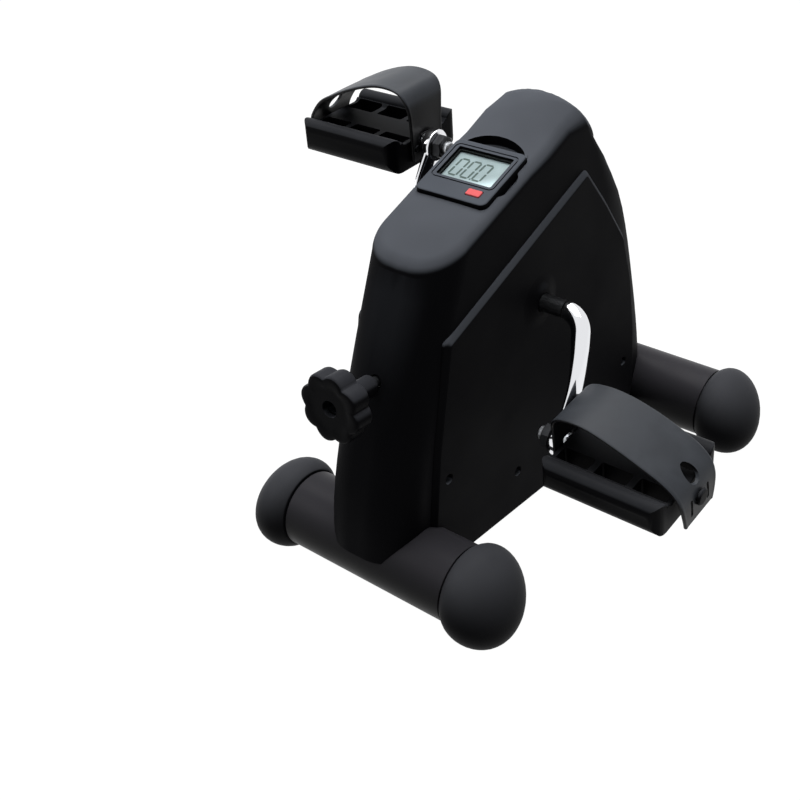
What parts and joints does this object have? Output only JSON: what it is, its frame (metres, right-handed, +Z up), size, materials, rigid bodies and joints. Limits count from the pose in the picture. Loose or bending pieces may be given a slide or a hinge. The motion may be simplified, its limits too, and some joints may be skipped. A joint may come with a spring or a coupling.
{
  "type": "mini exercise bike",
  "caption": "Compact pedal exerciser: hollow housing on foot tubes, strapped pedals on bent cranks, tension knob, display.",
  "frame": {"origin": "on the floor, under the middle of the overall length and of the width", "axes": "+X to the user's right along the crank axle, -Y to the front where the tension knob and the user are, +Z up"},
  "size_m": [0.3888, 0.4144, 0.3231],
  "materials": {
    "black_abs": "fine moulded texture, matte",
    "satin_black_steel": "satin powder coat",
    "chrome": "bright plated",
    "zinc_steel": "zinc plated",
    "grey_nylon": "moulded nylon",
    "strap_pvc": "flexible, half gloss",
    "felt": "felt faced band",
    "black_rubber": "cable sheath",
    "display_glass": "clear, gloss",
    "lcd": "reflective liquid crystal cell",
    "board_green": "lacquered board",
    "red_button": "matte"
  },
  "bodies": {
    "bike_body": {"front_left_end_cap": "black_abs", "front_right_end_cap": "black_abs", "rear_left_end_cap": "black_abs", "rear_right_end_cap": "black_abs", "left_housing_shell": "black_abs", "right_housing_shell": "black_abs", "monitor_case": "black_abs", "monitor_back": "black_abs", "reed_sensor": "black_abs", "front_foot_tube": "satin_black_steel", "rear_foot_tube": "satin_black_steel", "base_beam": "satin_black_steel", "left_upright": "satin_black_steel", "right_upright": "satin_black_steel", "tension_bracket": "satin_black_steel", "front_rivet": "zinc_steel", "rear_rivet": "zinc_steel", "shell_screw_1": "zinc_steel", "shell_screw_2": "zinc_steel", "shell_screw_3": "zinc_steel", "shell_screw_4": "zinc_steel", "shell_screw_5": "zinc_steel", "belt_anchor_pin": "zinc_steel", "belt_spring": "zinc_steel", "button_cell": "zinc_steel", "left_axle_bush": "grey_nylon", "right_axle_bush": "grey_nylon", "rod_bush": "grey_nylon", "friction_belt": "felt", "sensor_wire": "black_rubber", "display_window": "display_glass", "lcd_panel": "lcd", "circuit_board": "board_green"},
    "crank_set": {"crank_axle": "satin_black_steel", "left_crank_arm": "chrome", "right_crank_arm": "chrome", "left_pedal_spindle": "zinc_steel", "right_pedal_spindle": "zinc_steel", "left_spindle_nut": "zinc_steel", "right_spindle_nut": "zinc_steel", "brake_wheel": "grey_nylon", "wheel_magnet": "zinc_steel"},
    "left_pedal_set": {"left_pedal": "black_abs", "left_strap": "strap_pvc"},
    "right_pedal_set": {"right_pedal": "black_abs", "right_strap": "strap_pvc"},
    "tension_knob_set": {"tension_knob": "black_abs", "tension_rod": "zinc_steel", "rod_clip": "zinc_steel"},
    "tension_carriage_set": {"tension_carriage": "grey_nylon"},
    "mode_button_set": {"mode_button": "red_button"}
  },
  "joints": [
    {"name": "crank_spin", "type": "hinge", "parent": "bike_body", "child": "crank_set", "pos_m": [0, -0.03025, 0.192], "axis": [1, 0, 0], "continuous": true},
    {"name": "left_pedal_spin", "type": "hinge", "parent": "crank_set", "child": "left_pedal_set", "pos_m": [0, 0.00834, 0.26774], "axis": [1, 0, 0], "continuous": true},
    {"name": "right_pedal_spin", "type": "hinge", "parent": "crank_set", "child": "right_pedal_set", "pos_m": [0, -0.06884, 0.11626], "axis": [1, 0, 0], "continuous": true},
    {"name": "tension_knob_turn", "type": "hinge", "parent": "bike_body", "child": "tension_knob_set", "pos_m": [0, -0.1, 0.1715], "axis": [0, 1, 0], "range_deg": [0, 1800]},
    {"name": "tension_carriage_slide", "type": "slide", "parent": "bike_body", "child": "tension_carriage_set", "axis": [0, -1, 0], "range_m": [0, 0.0075], "deforming": ["belt_spring"]},
    {"name": "mode_button_press", "type": "slide", "parent": "bike_body", "child": "mode_button_set", "axis": [0, 0.3971, -0.9178], "range_m": [0, 0.0008], "stiffness_N_per_m": 1500, "springref_m": -0.0003}
  ],
  "couplings": [
    {"joint": "tension_carriage_slide", "follows": "tension_knob_turn", "m_per_rad": 0.00023873}
  ]
}
